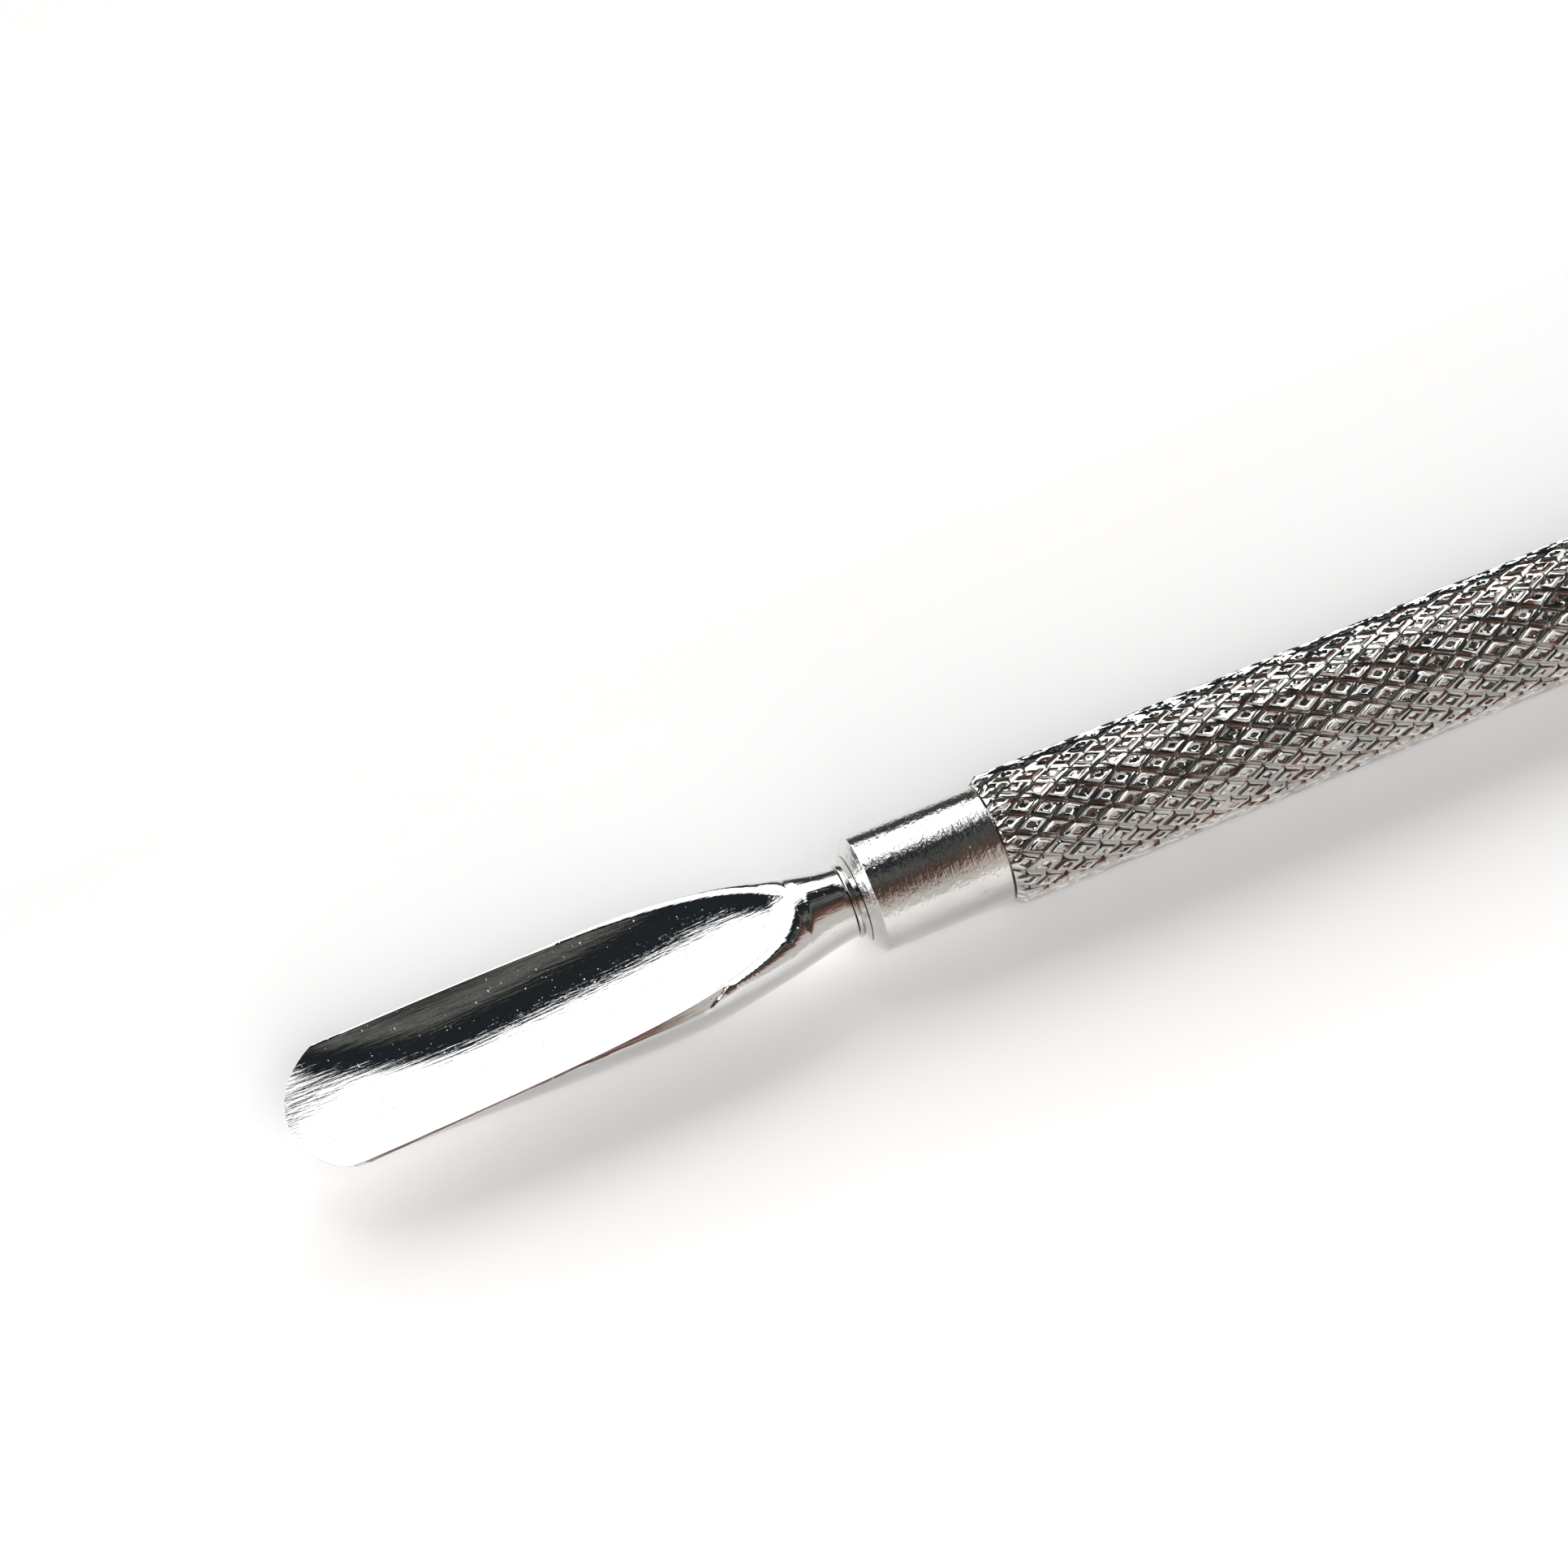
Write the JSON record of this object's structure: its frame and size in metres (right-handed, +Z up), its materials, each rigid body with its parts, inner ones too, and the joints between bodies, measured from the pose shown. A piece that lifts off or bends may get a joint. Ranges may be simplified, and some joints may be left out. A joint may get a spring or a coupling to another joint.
{
  "type": "cuticle pusher",
  "caption": "Slim double-ended steel cuticle pusher with a diamond-knurled grip, smooth collars, a hollow-ground spoon at one end and a slanted flat scraper at the other.",
  "frame": {"origin": "middle of the bounding box's underside, on the surface the grip lies on, halfway along the tool", "axes": "+X along the tool from the spoon to the scraper, +Z up with the spoon's hollow facing up"},
  "size_m": [0.1388, 0.008, 0.007],
  "materials": {
    "handle_tube": "diamond knurled, bright",
    "spoon_collar": "turned and brushed lengthwise",
    "spoon_root_ring": "braze, smoothed",
    "spoon_tip": "mirror polished",
    "scraper_collar": "turned and brushed lengthwise",
    "scraper_root_ring": "braze, smoothed",
    "scraper_tip": "mirror polished"
  },
  "bodies": {
    "root": {"handle_tube": "handle_tube", "spoon_collar": "spoon_collar", "spoon_root_ring": "spoon_root_ring", "spoon_tip": "spoon_tip", "scraper_collar": "scraper_collar", "scraper_root_ring": "scraper_root_ring", "scraper_tip": "scraper_tip"}
  },
  "joints": []
}
